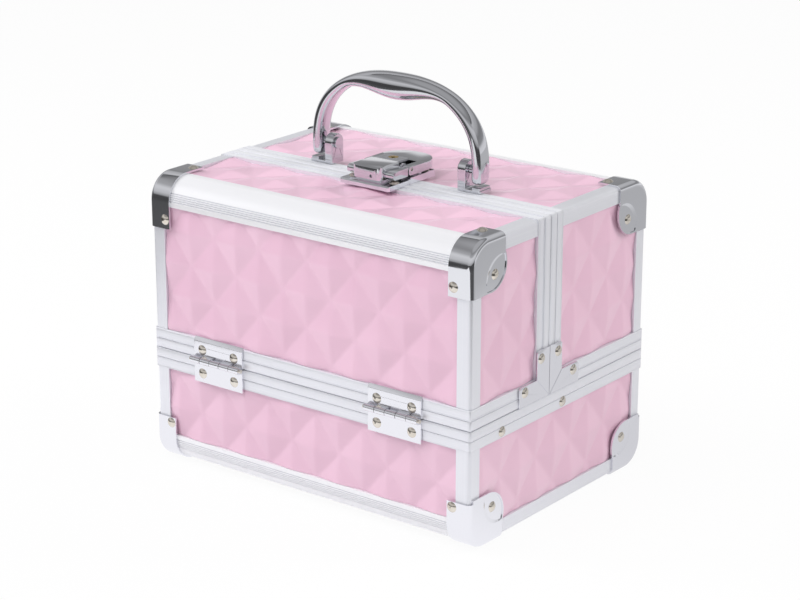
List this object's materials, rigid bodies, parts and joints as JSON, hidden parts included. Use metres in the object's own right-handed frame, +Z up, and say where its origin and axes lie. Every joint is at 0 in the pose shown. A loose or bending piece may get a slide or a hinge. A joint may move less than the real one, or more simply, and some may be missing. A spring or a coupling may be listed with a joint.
{
  "type": "makeup train case",
  "caption": "Small makeup train case: embossed boards in aluminium profiles, split lids hinged to a base, swing-out trays, mirror, keyed latch and folding carry handle.",
  "frame": {"origin": "middle of the case's footprint, on the ground under its corner caps", "axes": "+X along the case to the right seen from the front, +Y to the rear, +Z up"},
  "size_m": [0.2042, 0.1594, 0.2055],
  "materials": {
    "embossed_pink": "semi-gloss embossed",
    "floor_board": "black-faced board",
    "aluminium": "satin anodised",
    "chrome": "polished",
    "steel": "nickel-plated",
    "brass": "satin",
    "black_plastic": "matte",
    "lining": "matte cloth",
    "mirror": "polished"
  },
  "bodies": {
    "base": {"base_front_panel": "embossed_pink", "base_rear_panel": "embossed_pink", "base_side_panels": "embossed_pink", "base_floor_panel": "floor_board", "base_seam_rails": "aluminium", "base_corner_posts": "aluminium", "base_round_rails": "aluminium", "base_side_rails": "aluminium", "base_corner_caps": "aluminium", "base_liner": "lining", "base_rivets": "steel", "hinge_base_leaves": "chrome", "hinge_pins": "steel", "arm_base_rivets": "steel"},
    "front_lid": {"front_lid_front_panel": "embossed_pink", "front_lid_top_panel": "embossed_pink", "front_lid_side_panels": "embossed_pink", "front_lid_bottom_rails": "aluminium", "front_lid_seam_rails": "aluminium", "front_lid_corner_posts": "aluminium", "front_lid_round_rail": "aluminium", "front_lid_side_rails": "aluminium", "front_lid_corner_caps": "aluminium", "front_lid_corner_plates": "aluminium", "front_lid_liner": "lining", "front_lid_rivets": "steel", "hinge_front_lid_leaves": "chrome", "catch_plate": "chrome", "catch_block": "chrome", "lid_link_studs": "steel"},
    "rear_lid": {"rear_lid_rear_panel": "embossed_pink", "rear_lid_top_panel": "embossed_pink", "rear_lid_side_panels": "embossed_pink", "rear_lid_bottom_rails": "aluminium", "rear_lid_seam_rails": "aluminium", "rear_lid_corner_posts": "aluminium", "rear_lid_round_rail": "aluminium", "rear_lid_side_rails": "aluminium", "rear_lid_corner_caps": "aluminium", "rear_lid_corner_plates": "aluminium", "rear_lid_liner": "lining", "rear_lid_rivets": "steel", "hinge_rear_lid_leaves": "chrome", "mirror_glass": "mirror", "mirror_frame": "black_plastic", "handle_brackets": "chrome", "lock_base": "chrome", "lock_housing": "chrome", "lever_pins": "steel"},
    "carry_handle": {"handle": "chrome", "handle_pins": "steel"},
    "lever": {"latch_lever": "chrome"},
    "cylinder": {"lock_cylinder": "brass"},
    "front_arms": {"front_swing_arms": "steel"},
    "rear_arms": {"rear_swing_arms": "steel"},
    "tray_low": {"lower_tray": "black_plastic", "lower_tray_rivets": "steel"},
    "tray_high": {"upper_tray": "black_plastic", "upper_tray_rivets": "steel"}
  },
  "joints": [
    {"name": "front_lid_hinge", "type": "hinge", "parent": "base", "child": "front_lid", "pos_m": [0, -0.0779, 0.062], "axis": [1, 0, 0], "range_deg": [0, 96]},
    {"name": "rear_lid_hinge", "type": "hinge", "parent": "base", "child": "rear_lid", "pos_m": [0, 0.0779, 0.062], "axis": [-1, 0, 0], "range_deg": [0, 100]},
    {"name": "handle_fold", "type": "hinge", "parent": "rear_lid", "child": "carry_handle", "pos_m": [0, 0.0004, 0.1636], "axis": [-1, 0, 0], "range_deg": [0, 88]},
    {"name": "lever_lift", "type": "hinge", "parent": "rear_lid", "child": "lever", "pos_m": [0, -0.008, 0.1602], "axis": [1, 0, 0], "range_deg": [0, 90]},
    {"name": "cylinder_turn", "type": "hinge", "parent": "rear_lid", "child": "cylinder", "pos_m": [0, -0.0042, 0.16], "axis": [0, 0, 1], "range_deg": [0, 90]},
    {"name": "front_arms_swing", "type": "hinge", "parent": "base", "child": "front_arms", "pos_m": [0, -0.049, 0.0546], "axis": [1, 0, 0], "range_deg": [0, 96]},
    {"name": "rear_arms_swing", "type": "hinge", "parent": "base", "child": "rear_arms", "pos_m": [0, 0.0022, 0.0546], "axis": [1, 0, 0], "range_deg": [0, 96]},
    {"name": "lower_tray_level", "type": "hinge", "parent": "front_arms", "child": "tray_low", "pos_m": [0, -0.0221, 0.07882], "axis": [-1, 0, 0], "range_deg": [0, 96]},
    {"name": "upper_tray_level", "type": "hinge", "parent": "front_arms", "child": "tray_high", "pos_m": [0, 0.0048, 0.10304], "axis": [-1, 0, 0], "range_deg": [0, 96]}
  ],
  "couplings": [
    {"joint": "front_arms_swing", "follows": "front_lid_hinge", "ratio": 1},
    {"joint": "rear_arms_swing", "follows": "front_lid_hinge", "ratio": 1},
    {"joint": "lower_tray_level", "follows": "front_lid_hinge", "ratio": 1},
    {"joint": "upper_tray_level", "follows": "front_lid_hinge", "ratio": 1}
  ]
}
